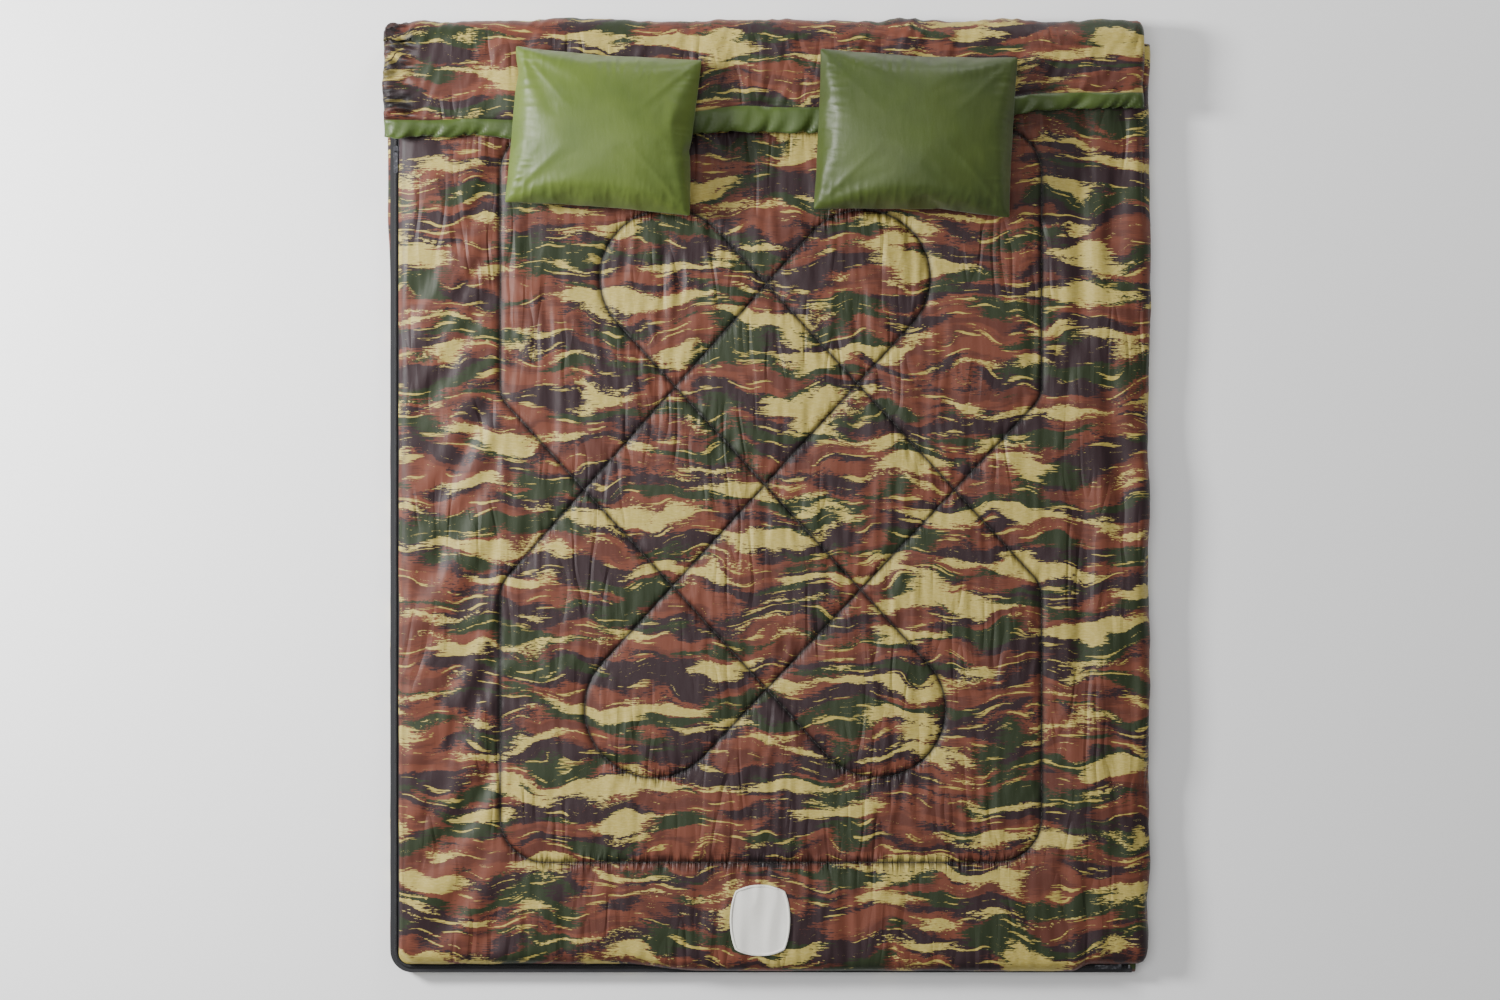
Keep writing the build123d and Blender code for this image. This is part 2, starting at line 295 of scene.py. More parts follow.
def camoMaterial(name):
    material, tree, shader = startMaterial(name, camo["roughness"], camo["sheen"], specular=0.26)
    cloth = fromMesh(tree, "clothPlace", "Vector")
    # dry-brush ends: each thin row of the print is pushed along by its own amount
    rows = noisy(tree, place(tree, (26, 420, 1), source=cloth), detail=2, roughness=0.6)
    sway = noisy(tree, place(tree, (6, 8, 1), (3.1, 0.7, 0), source=cloth), detail=2)
    push = tree.nodes.new("ShaderNodeCombineXYZ")
    tree.links.new(stretched(tree, rows, 0.2, 0.8, -0.030, 0.030), push.inputs["X"])
    tree.links.new(stretched(tree, sway, 0.25, 0.75, -0.030, 0.030), push.inputs["Y"])
    pushed = tree.nodes.new("ShaderNodeVectorMath")
    tree.links.new(cloth, pushed.inputs[0])
    tree.links.new(push.outputs["Vector"], pushed.inputs[1])
    brushed = pushed.outputs["Vector"]
    specks = noisy(tree, place(tree, (90, 340, 1), (1, 5, 0), source=cloth), detail=2, roughness=0.7)
    colour = mixedColour(
        tree,
        stretched(tree, noisy(tree, place(tree, (10, 40, 1), (9, 2, 0), source=brushed)), 0.45, 0.55),
        camo["brown"], camo["brownDark"],
    )
    layers = (("plum", "plumShare", 11.3), ("green", "greenShare", 27.9), ("khaki", "khakiShare", 43.1))
    for paint, share, offset in layers:
        spot = place(tree, camo["blotch"], (offset, offset * 0.7, 0), source=brushed)
        blotches = noisy(tree, spot, detail=2.5, roughness=0.52)
        torn = maths(tree, "ADD", blotches, stretched(tree, specks, 0.0, 1.0, -0.08, 0.08))
        edge = camo[share]
        mask = stretched(tree, torn, edge - 0.006, edge + 0.006)
        paintColour = camo[paint]
        if paint == "khaki":
            faded = stretched(tree, specks, 0.4, 0.7)
            paintColour = mixedColour(tree, faded, camo["khaki"], camo["khakiLight"])
        colour = mixedColour(tree, mask, colour, paintColour)
    slivers = noisy(tree, place(tree, (13, 88, 1), (5, 3, 0), source=brushed), detail=2, roughness=0.5)
    colour = mixedColour(tree, stretched(tree, slivers, 0.635, 0.645), colour, camo["khaki"])
    flecks = noisy(tree, place(tree, (60, 190, 1), (8, 1, 0), source=brushed), detail=2, roughness=0.6)
    colour = mixedColour(tree, stretched(tree, flecks, 0.70, 0.71), colour, camo["khakiLight"])
    # painted shade: the colour is darkened towards the crease colour along the quilting line, the hem's
    # stitch row, the hood's ruffle and roll edge, and between the pleats of a gathered row
    gather = fromMesh(tree, "gather")
    rippled = noisy(tree, place(tree, (105, 13, 1), (2, 2, 0), source=cloth), detail=1)
    pleats = stretched(tree, rippled, 0.42, 0.56)
    pleatShade = maths(tree, "MULTIPLY", maths(tree, "SUBTRACT", 1.0, pleats), gather)
    depth = maths(tree, "MAXIMUM", fromMesh(tree, "sewnShade"), maths(tree, "MULTIPLY", pleatShade, 0.85))
    dark = mixedColour(tree, depth, (1.0, 1.0, 1.0, 1.0), camo["crease"])
    tree.links.new(mixedColour(tree, 1.0, colour, dark, "MULTIPLY"), shader.inputs["Base Color"])
    creases = noisy(tree, place(tree, (52, 9, 1), source=cloth), detail=2, roughness=0.45)
    weave = woven(tree, place(tree, (1, 1, 1), source=cloth), 260, 0.6)
    soft = bumped(tree, creases, 0.0024, 0.55)
    # sharp upright wrinkles that come and go, and the close pleats of a gathered row
    folds = noisy(tree, place(tree, (27, 4.5, 1), (6, 2, 0), source=cloth), detail=1, roughness=0.4)
    sharp = stretched(tree, maths(tree, "ABSOLUTE", maths(tree, "SUBTRACT", folds, 0.5), 0.0), 0.0, 0.09)
    patchy = noisy(tree, place(tree, (7, 5, 1), (4, 4, 0), source=cloth), detail=1)
    strong = stretched(tree, patchy, 0.46, 0.60)
    wrinkled = bumped(tree, maths(tree, "MULTIPLY", sharp, strong), 0.0032, 0.65, soft)
    gathered = bumped(tree, maths(tree, "MULTIPLY", pleats, gather), 0.0040, 0.9, wrinkled)
    tree.links.new(bumped(tree, weave, 0.00012, 0.5, gathered), shader.inputs["Normal"])
    tree.links.new(stretched(tree, creases, 0.3, 0.7, camo["roughness"] + 0.06, camo["roughness"] - 0.06),
                   shader.inputs["Roughness"])
    return material


def satinMaterial(name, colour, deep, roughness, creaseSize=(60, 18, 30)):
    material, tree, shader = startMaterial(name, roughness, 0.15, specular=0.4)
    creases = noisy(tree, place(tree, creaseSize), detail=3, roughness=0.55)
    cloudy = noisy(tree, place(tree, (5, 5, 5), (2, 7, 1)), detail=3, roughness=0.6)
    tone = mixedColour(tree, stretched(tree, cloudy, 0.35, 0.65), deep, colour)
    tree.links.new(tone, shader.inputs["Base Color"])
    weave = woven(tree, place(tree, (1, 1, 1)), 240, 0.5)
    soft = bumped(tree, creases, 0.0016, 0.4)
    tree.links.new(bumped(tree, weave, 0.0001, 0.4, soft), shader.inputs["Normal"])
    gloss = stretched(tree, creases, 0.3, 0.7, roughness + 0.05, roughness - 0.05)
    tree.links.new(gloss, shader.inputs["Roughness"])
    return material


def wovenMaterial(name, colour, light, roughness):
    material, tree, shader = startMaterial(name, roughness, 0.1)
    ribs = banded(tree, place(tree, (1, 1, 1), turn=math.radians(45)), 190, 0.8)
    slub = noisy(tree, place(tree, (300, 300, 300)), detail=2)
    tone = mixedColour(tree, maths(tree, "MULTIPLY", ribs, slub), colour, light)
    tree.links.new(tone, shader.inputs["Base Color"])
    tree.links.new(bumped(tree, ribs, 0.0002, 0.7), shader.inputs["Normal"])
    return material


def metalMaterial(name, colour, worn, roughness, metallic=1.0):
    material, tree, shader = startMaterial(name, roughness, 0.0, metallic)
    marks = noisy(tree, place(tree, (140, 140, 60)), detail=4, roughness=0.6)
    tone = mixedColour(tree, stretched(tree, marks, 0.5, 0.75), colour, worn)
    tree.links.new(tone, shader.inputs["Base Color"])
    gloss = stretched(tree, marks, 0.3, 0.7, roughness - 0.08, roughness + 0.12)
    tree.links.new(gloss, shader.inputs["Roughness"])
    tree.links.new(bumped(tree, marks, 0.0001, 0.4), shader.inputs["Normal"])
    return material


camoCloth = camoMaterial("camo print taffeta")
greenLining = satinMaterial("green lining", shade(66, 84, 28), shade(47, 62, 20), 0.45, (70, 16, 30))
leftSatin = satinMaterial("left pillow satin", shade(90, 107, 42), shade(74, 91, 34), 0.44)
# painted shade: the right pillow gets a darker copy of the left pillow's satin, for the light falling from
# the left
shadedRightSatin = satinMaterial("right pillow satin with painted shade", shade(65, 79, 27), shade(53, 66, 22), 0.46)
tapeBlack = wovenMaterial("zip tape weave", shade(24, 24, 27), shade(52, 52, 56), 0.75)
coilBlack = metalMaterial("nylon coil", shade(20, 20, 22), shade(44, 44, 48), 0.42, 0.0)
threadDark = wovenMaterial("quilting thread", shade(38, 34, 30), shade(66, 60, 52), 0.6)
patchWhite = wovenMaterial("patch twill", shade(224, 222, 214), shade(242, 240, 234), 0.7)
sliderMetal = metalMaterial("slider metal", shade(70, 70, 74), shade(130, 130, 134), 0.34)
stopMetal = metalMaterial("stop metal", shade(120, 120, 124), shade(170, 170, 174), 0.36)
print("materials made")


# the quilting pattern: one closed line of stitches through cover and lining

quilting = {
    "centre": Vector((-0.010, 0.025, 0)),
    "step": Vector((0.184, 0.2015, 0)),  # from one crossing to the next, across and along
    "lobeRadius": 0.1358,
    "lowerReach": 0.330,  # from the last crossing to the end of a lower lobe
    "upperReach": 0.285,
    "frameLeft": -0.537,
    "frameRight": 0.540,
    "frameTop": 0.735,
    "frameFoot": -0.726,
    "upperBend": 0.199,  # where the frame leaves the side and turns inwards
    "lowerBend": -0.174,
    "frameRadius": 0.090,
    "bendRadius": 0.060,
    "sample": 0.004,
}


# hemInset: where the painted shade line of the hem's stitch row runs
threads = {"stitch": 0.0042, "gap": 0.0016, "radius": 0.00055, "hemInset": 0.0115}


def roundedRoute(turns, sample, closed=True):
    # turns is [(corner, radius)]; points come out about a sample apart along the rounded line
    smooth = []
    count = len(turns)
    for index, (corner, radius) in enumerate(turns):
        back = turns[index - 1][0] - corner
        ahead = turns[(index + 1) % count][0] - corner
        if radius <= 0 or (not closed and index in (0, count - 1)):
            smooth.append(corner)
            continue
        back.normalize()
        ahead.normalize()
        half = back.angle(ahead) / 2
        centre = corner + (back + ahead).normalized() * (radius / math.sin(half))
        start = corner + back * (radius / math.tan(half)) - centre
        end = corner + ahead * (radius / math.tan(half)) - centre
        sweep = start.to_2d().angle_signed(end.to_2d())
        pieces = max(4, math.ceil(abs(sweep) * radius / sample))
        for part in range(pieces + 1):
            smooth.append(centre + Matrix.Rotation(-sweep * part / pieces, 3, "Z") @ start)
    points = []
    legs = len(smooth) if closed else len(smooth) - 1
    for index in range(legs):
        start = smooth[index]
        end = smooth[(index + 1) % len(smooth)]
        pieces = max(1, round((end - start).length / sample))
        points.extend(start.lerp(end, part / pieces) for part in range(pieces))
    if not closed:
        points.append(smooth[-1])
    return points


def quiltRoute():
    centre = quilting["centre"]
    step = quilting["step"]

    def crossing(across, along):
        return centre + Vector((step.x * across, step.y * along, 0))

    down = Vector((step.x, -step.y, 0)).normalized()
    side = Vector((-down.y, down.x, 0)) * quilting["lobeRadius"]
    lowerCap = (crossing(0, -2) + crossing(1, -1)) / 2 + down * quilting["lowerReach"]
    upperCap = (crossing(-1, 1) + crossing(0, 2)) / 2 - down * quilting["upperReach"]
    lobe = quilting["lobeRadius"] * 0.998
    left = quilting["frameLeft"]
    right = quilting["frameRight"]
    strand = [
        (Vector((left, quilting["frameTop"], 0)), quilting["frameRadius"]),
        (Vector((left, quilting["upperBend"], 0)), quilting["bendRadius"]),
        (lowerCap - side, lobe),
        (lowerCap + side, lobe),
        (upperCap - side, lobe),
        (upperCap + side, lobe),
        (Vector((right, quilting["lowerBend"], 0)), quilting["bendRadius"]),
        (Vector((right, quilting["frameFoot"], 0)), quilting["frameRadius"]),
    ]
    other = []
    for index, (corner, radius) in enumerate(strand):
        across = 2 * centre.x - corner.x
        if index < 2:
            across = right
        if index > 5:
            across = left
        other.append((Vector((across, corner.y, 0)), radius))
    return roundedRoute(strand + other[::-1], quilting["sample"])


route = quiltRoute()
routeTree = kdtree.KDTree(len(route))
for index, point in enumerate(route):
    routeTree.insert(point, index)
routeTree.balance()
routeAcross = [
    abs((route[(index + 2) % len(route)] - route[index - 2]).normalized().x) for index in range(len(route))
]


def toStitches(x, y):
    # distance to the quilting line, and how far that line runs across the bag there
    _, index, distance = routeTree.find(Vector((x, y, 0)))
    return distance, routeAcross[index]


# the cover: print outside, lining inside, sewn through, free at the left and foot, bent round at the right

coverLow, coverHigh = corners("cover_shell", "corner_shell", "cover_lining")
hemLow, hemHigh = corners("cover_head_hem")
foldLow, foldHigh = corners("side_fold_shell")
baseLow, baseHigh = corners("base_shell", "base_side_hem", "base_foot_hem")

cover = {
    "left": coverLow.x,
    "foot": coverLow.y,
    "head": hemHigh.y,
    "foldStart": foldLow.x,
    "foldCentre": 0.031,  # height of the centre that the closed side turns round
    "stitchHeight": 0.050,
    "loft": 0.0128,
    "thinnest": 0.0030,  # at the stitches, from print to lining
    "spacing": 0.010,
    "liningSpacing": 0.013,
    "cornerRadius": 0.022,
    "edgeWidth": 0.030,  # how far in from the hem the padding is full
    "edgeHeight": 0.0405,
    "crease": 0.0060,
    "plateau": 0.0058,
    "domeShare": 0.21,
    "overhang": 0.0050,  # how far the edge bulges out over the zip
    "knee": 0.0012,
    "footSpill": 0.019,  # the foot edge hangs over the zip towards the closed side
    "cloth": {"quality": 5, "mass": 0.3, "pressure": 4, "shrink": -0.025, "bending": 0.05,
              "frames": 22, "cap": 0.016},
}
wrinkles = {  # height, width, length and seed of each kind
    "upright": (0.0042, 0.028, 0.15, 8.3),
    "fine": (0.0032, 0.025, 0.12, 2.9),
    "byStitches": (0.0036, 0.023, 0.075, 18.8),
    "gathered": (0.0042, 0.0125, 0.05, 3.9),
    "leftMargin": (0.0120, 0.045, 0.20, 9.6),
    "rightMargin": (0.0110, 0.040, 0.22, 12.2),
    "footPuckers": (0.0048, 0.024, 0.07, 15.5),
}
cover["turnLength"] = math.pi * 0.026
turnInner = cover["stitchHeight"] - cover["foldCentre"]


def roundedCorner(x, y, left, foot, radius):
    # the square corner at the left and foot becomes a rounded one
    a = (left + radius - x) / radius
    b = (foot + radius - y) / radius
    if a <= 0 or b <= 0:
        return x, y
    return (left + radius - radius * a * math.sqrt(1 - b * b / 2),
            foot + radius - radius * b * math.sqrt(1 - a * a / 2))


def coverEdge(x, y):
    # distance in from the free edges at the left and the foot
    left = x - cover["left"]
    foot = y - cover["foot"]
    radius = cover["edgeWidth"] * 1.3
    if left < radius and foot < radius:
        return radius - math.hypot(radius - left, radius - foot)
    return min(left, foot)


def coverPlace(x, y, height):
    fromLeft = x - cover["left"]
    fromFoot = y - cover["foot"]
    spill = cover["overhang"] + (cover["footSpill"] - cover["overhang"]) * eased((x + 0.30) / 0.16)
    spill += (cover["overhang"] - spill) * eased((x - 0.60) / 0.04)  # room for the foot slider's tab
    spill += 0.0018 * rough(x, 0, 0.07, 1, 3.3)
    y -= spill * eased(1 - fromFoot / 0.11)
    wave = (0.0018 * rough(y, 0, 0.09, 1, 7.7) - cover["overhang"]) * eased(1 - fromLeft / 0.09)
    if x <= cover["foldStart"]:
        return Vector((x + wave, y, cover["stitchHeight"] + height))
    angle = (x - cover["foldStart"]) / cover["turnLength"] * math.pi
    bulge = 0.0035 * rough(y, angle * 0.03, 0.07, 0.05, 5.1) * math.sin(angle)
    radius = turnInner + height
    rise = cover["foldCentre"] + radius * math.cos(angle)
    return Vector((cover["foldStart"] + (radius + bulge) * math.sin(angle), y, max(rise, 0.0)))


def wrinkle(kind, x, y, shape=ridged):
    height, width, length, seed = wrinkles[kind]
    return height * shape(x, y, width, length, seed)


def coverHeight(x, y, dome):
    distance, across = toStitches(x, y)
    edge = coverEdge(x, y)
    nearRoute = math.exp(-(distance / 0.026) ** 2)
    # padding between the stitches, narrow at the line itself
    full = 1 - math.exp(-distance / cover["crease"])
    height = cover["plateau"] * full + dome * cover["domeShare"]
    # fine upright wrinkles, strongest where the panel is drawn in
    lean = x + 0.012 * rough(x, y, 0.30, 0.22, 1.7)
    calm = eased(0.55 + 1.3 * rough(x, y, 0.20, 0.26, 4.4))
    middle = eased((x + 0.60) / 0.10) * eased((0.60 - x) / 0.10)
    height += wrinkle("upright", lean, y) * calm * (0.35 + 0.65 * middle) * eased(distance / 0.012)
    height += wrinkle("fine", lean, y) * eased(0.5 + 1.2 * rough(x, y, 0.13, 0.18, 6.1))
    # short ones on both sides of every line of stitches
    beside = math.exp(-(distance / 0.055) ** 2) * eased(distance / 0.006)
    height += wrinkle("byStitches", lean, y) * beside * eased(0.45 + 1.5 * rough(x, y, 0.1, 0.1, 19.4))
    # gathers where a line of stitches runs across
    gather = (0.25 + 0.75 * across ** 3) * nearRoute
    height += wrinkle("gathered", lean, y) * gather
    # soft folds dragged down the left margin, upright ones at the right
    leftMargin = eased((-0.50 - x) / 0.06) * eased(edge / 0.06)
    along = x * 0.89 - y * 0.45
    acrossFold = x * 0.45 + y * 0.89
    height += wrinkle("leftMargin", along, acrossFold, rough) * leftMargin
    rightMargin = eased((x - 0.56) / 0.06)
    height += wrinkle("rightMargin", x, y, rough) * rightMargin
    # puckers along the foot, where the zip is eased in
    foot = eased(1 - (y - cover["foot"]) / 0.075) * eased((x + 0.42) / 0.05) * eased((0.05 - x) / 0.15)
    height += wrinkle("footPuckers", x, y) * foot
    # the padding thins to the hem; the row of stitches just inside it is not built, only painted as a shade
    # line on the cover
    if edge < cover["edgeWidth"]:
        rounding = math.sqrt(max(0.0, 1 - (1 - max(edge, 0) / cover["edgeWidth"]) ** 2))
        low = cover["edgeHeight"] - cover["stitchHeight"]
        height = low + (height - low) * rounding
    knee = cover["knee"]
    top = cover["loft"] - 0.0012 * eased((y - 0.50) / 0.05)
    return top - knee * math.log1p(math.exp((top - height) / knee))


def makeCover():
    width = cover["foldStart"] + cover["turnLength"] - cover["left"]
    length = cover["head"] - cover["foot"]
    bm = flatGrid(cover["left"], cover["foot"], width, length, cover["spacing"])
    pins = []
    for index, vert in enumerate(bm.verts):
        found, _, distance = routeTree.find(vert.co)
        if distance < cover["spacing"] * 0.55:
            vert.co = vert.co.lerp(found, 0.7)
            pins.append(index)
        elif vert.is_boundary:
            pins.append(index)
    moved = simulated(bm, pins, cover["cloth"])
    for index, vert in enumerate(bm.verts):
        if moved is None:
            vert.co.z = 0.010 * (1 - math.exp(-toStitches(vert.co.x, vert.co.y)[0] / 0.045))
        else:
            vert.co += Vector(moved[index])
    top = placed("coverQuilt", bm)
    fine = top.modifiers.new("finer", "SUBSURF")
    fine.levels = fine.render_levels = 1
    applied(top)
    bm = bmesh.new()
    bm.from_mesh(top.data)
    bpy.data.objects.remove(top)
    places = []
    shades = []
    gathers = []
    fromRoute = []
    for vert in bm.verts:
        x, y, dome = vert.co
        # the fine mesh is drawn onto the line of stitches, so the crease stays sharp
        found, _, distance = routeTree.find(Vector((x, y, 0)))
        if distance < 0.0028:
            x += (found.x - x) * 0.85
            y += (found.y - y) * 0.85
        distance, across = toStitches(x, y)
        fromRoute.append(distance)
        # gather: where a line of stitches runs across, later darkened as painted shade between the pleats
        # and bumped
        gathers.append(across ** 4 * math.exp(-(distance / 0.013) ** 2))
        # painted shade: dark along the quilting line, and half as dark along the stitch row inside the hem
        hem = abs(coverEdge(x, y) - threads["hemInset"])
        shades.append(max(math.exp(-(distance / 0.0052) ** 2), 0.5 * math.exp(-(hem / 0.003) ** 2)))
        height = coverHeight(x, y, min(max(dome, 0), 0.016))
        places.append((x, y, 0))
        x, y = roundedCorner(x, y, cover["left"], cover["foot"], cover["cornerRadius"])
        vert.co = coverPlace(x, y, height)
    # faces beside the stitches are split along them, so the crease runs clean both ways
    for face in list(bm.faces):
        near = [fromRoute[vert.index] for vert in face.verts]
        if len(near) == 4 and min(near) < cover["spacing"]:
            first = 0 if near[0] + near[2] < near[1] + near[3] else 1
            bmesh.utils.face_split(face, face.verts[first], face.verts[first + 2])
    # the lining under it
    under = flatGrid(cover["left"], cover["foot"], width, length, cover["liningSpacing"])
    bmesh.ops.reverse_faces(under, faces=under.faces)
    for face in under.faces:
        face.material_index = 1
    for vert in under.verts:
        x, y, _ = vert.co
        distance, across = toStitches(x, y)
        places.append((x, y, 0))
        shades.append(0.0)
        gathers.append(0.0)
        depth = cover["thinnest"] + (cover["loft"] - cover["thinnest"]) * (1 - math.exp(-distance / 0.014))
        depth -= 0.0012 * abs(rough(x, y, 0.03, 0.10, 21.0)) * eased(distance / 0.02)
        # it comes up to the hem at the free edges
        depth += (cover["loft"] - depth) * eased(1 - coverEdge(x, y) / cover["edgeWidth"])
        x, y = roundedCorner(x, y, cover["left"], cover["foot"], cover["cornerRadius"])
        vert.co = coverPlace(x, y, -depth)
    joinedBelow(bm, under)
    piece = placed("coverQuilt", bm, camoCloth, greenLining)
    writeClothPlace(piece, places, shades, gathers)
    return piece


coverQuilt = makeCover()
print("cover quilt made", len(coverQuilt.data.polygons))
coverSurface = BVHTree.FromObject(coverQuilt, bpy.context.evaluated_depsgraph_get())


def onCover(x, y):
    # the height of the finished cover under a point
    hit = coverSurface.ray_cast(Vector((x, y, 0.3)), Vector((0, 0, -1)))[0]
    return hit.z if hit else cover["stitchHeight"]


# the base: lining up, print down, its edge rolled up to the zip

base = {
    "left": baseLow.x,
    "foot": baseLow.y,
    "head": hemHigh.y + 0.004,
    "right": cover["foldStart"] + 0.002,
    "stitchHeight": 0.012,
    "top": 0.0236,
    "rim": 0.0284,
    "rimMiddle": 0.0155,
    "roll": 0.014,
    "spacing": 0.0125,
    "edgeRows": 5,
    "edgeBand": 0.032,
    "cornerRadius": 0.045,
}


def graded(value, start, length, spacing):
    # rows stand closer together near the free edge
    rows = max(2, round(length / spacing))
    row = round((value - start) / length * rows)
    near = base["edgeRows"]
    if row <= near:
        return start + base["edgeBand"] * (row / near) ** 1.6
    return start + base["edgeBand"] + (length - base["edgeBand"]) * (row - near) / (rows - near)


def baseEdge(x, y):
    left = x - base["left"]
    foot = y - base["foot"]
    radius = base["cornerRadius"]
    if left < radius and foot < radius:
        return max(0.0, radius - math.hypot(radius - left, radius - foot))
    return max(0.0, min(left, foot))


def makeBase():
    width = base["right"] - base["left"]
    length = base["head"] - base["foot"]
    places = []

    def half(up):
        bm = flatGrid(base["left"], base["foot"], width, length, base["spacing"])
        for vert in bm.verts:
            x = graded(vert.co.x, base["left"], width, base["spacing"])
            y = graded(vert.co.y, base["foot"], length, base["spacing"])
            x, y = roundedCorner(x, y, base["left"], base["foot"], base["cornerRadius"])
            edge = baseEdge(x, y)
            places.append((x + 0.21, y + 0.13, 0))
            rounding = math.sqrt(max(0.0, 1 - (1 - min(edge / base["roll"], 1)) ** 2))
            if up:
                distance, _ = toStitches(x, y)
                full = 1 - math.exp(-distance / 0.014)
                padded = base["stitchHeight"] + (base["top"] - base["stitchHeight"]) * full
                padded -= 0.0012 * abs(rough(x, y, 0.035, 0.12, 31.0))
                rim = base["rimMiddle"] + 0.0006 + (base["rim"] - base["rimMiddle"] - 0.0006) * rounding
                z = rim + (padded - rim) * eased((edge - 0.013) / 0.02)
            else:
                z = (base["rimMiddle"] - 0.0006) * (1 - rounding)
            wave = 0.0016 * rough(x + y, 0, 0.08, 1, 17.0) * eased(1 - edge / 0.02)
            wave -= (0.001 + 0.0045 * eased((y - 0.45) / 0.12)) * eased(1 - (x - base["left"]) / 0.012)
            vert.co = Vector((x + wave, y, z))
        return bm

    bm = half(True)
    for face in bm.faces:
        middle = face.calc_center_median()
        face.material_index = 1 if baseEdge(middle.x, middle.y) > 0.008 else 0
    under = half(False)
    bmesh.ops.reverse_faces(under, faces=under.faces)
    joinedBelow(bm, under)
    piece = placed("baseQuilt", bm, camoCloth, greenLining)
    writeClothPlace(piece, places)
    return piece


baseQuilt = makeBase()
print("base quilt made", len(baseQuilt.data.polygons))


# the hood: comes up round the head end, lies over the cover, and its free edge is rolled to show the lining

bendLow, bendHigh = corners("hood_bend_shell")
flapLow, flapHigh = corners("hood_flap_shell", "hood_flap_lining")
edgeLow, edgeHigh = corners("hood_edge_roll")
hood = {
    "left": baseLow.x - 0.005,
    "right": cover["foldStart"] + 0.012,
    "bendY": bendLow.y,
    "bendZ": (bendHigh.z + bendLow.z) / 2,
    "outer": (bendHigh.z - bendLow.z) / 2,
    "inner": 0.01925,
    "top": bendHigh.z,
    "under": flapLow.z,
    "edge": edgeLow.y,
    "spacing": 0.0052,
    "endRound": 0.020,
    "rows": 116,
    "shares": (26 / 116, 58 / 116, 72 / 116, 104 / 116),  # where bend, outside, rolled edge and inside end
    "rollWidth": 0.034,
    "rightRise": 0.048,  # how much further up the free edge lies at the right
    "bendStart": 0.019,  # height where the bend starts to turn with the flap
}


def roundBend(radius, angle):
    return hood["bendY"] + radius * math.cos(angle), hood["bendZ"] + radius * math.sin(angle)


def hoodProfile(share, x):
    # once round the section, from the base up over the outside, round the free edge and back inside
    atRight = eased((x - 0.36) / 0.20)
    lower = hood["edge"] + 0.008 * eased((x + 0.25) / 0.2) + hood["rightRise"] * atRight
    lower += 0.004 * rough(x, 0, 0.13, 1, 41.0)
    rollWidth = hood["rollWidth"] + 0.018 * eased((x + 0.30) / 0.25) - 0.020 * atRight
    upper = lower + rollWidth
    middle = (hood["top"] + hood["under"]) / 2
    half = (hood["top"] - hood["under"]) / 2
    bend, flat, roll, back = hood["shares"]
    if share < bend:
        angle = (share / bend - 0.5) * math.pi
        return roundBend(hood["outer"], angle)
    if share < flat:
        t = (share - bend) / (flat - bend)
        y = hood["bendY"] + (upper - hood["bendY"]) * t
        return y, hood["top"] - 0.0045 * eased(1 - (y - upper) / 0.014)
    if share < roll:
        t = (share - flat) / (roll - flat)
        angle = math.pi * (0.5 + t)
        return upper + math.cos(angle) * rollWidth * (1 - 0.25 * t * t), middle + math.sin(angle) * half
    if share < back:
        t = (share - roll) / (back - roll)
        return upper + (hood["bendY"] - upper) * t, hood["under"]
    angle = (0.5 - min((share - back) / (1 - back), 1.0)) * math.pi
    return roundBend(hood["inner"], angle)


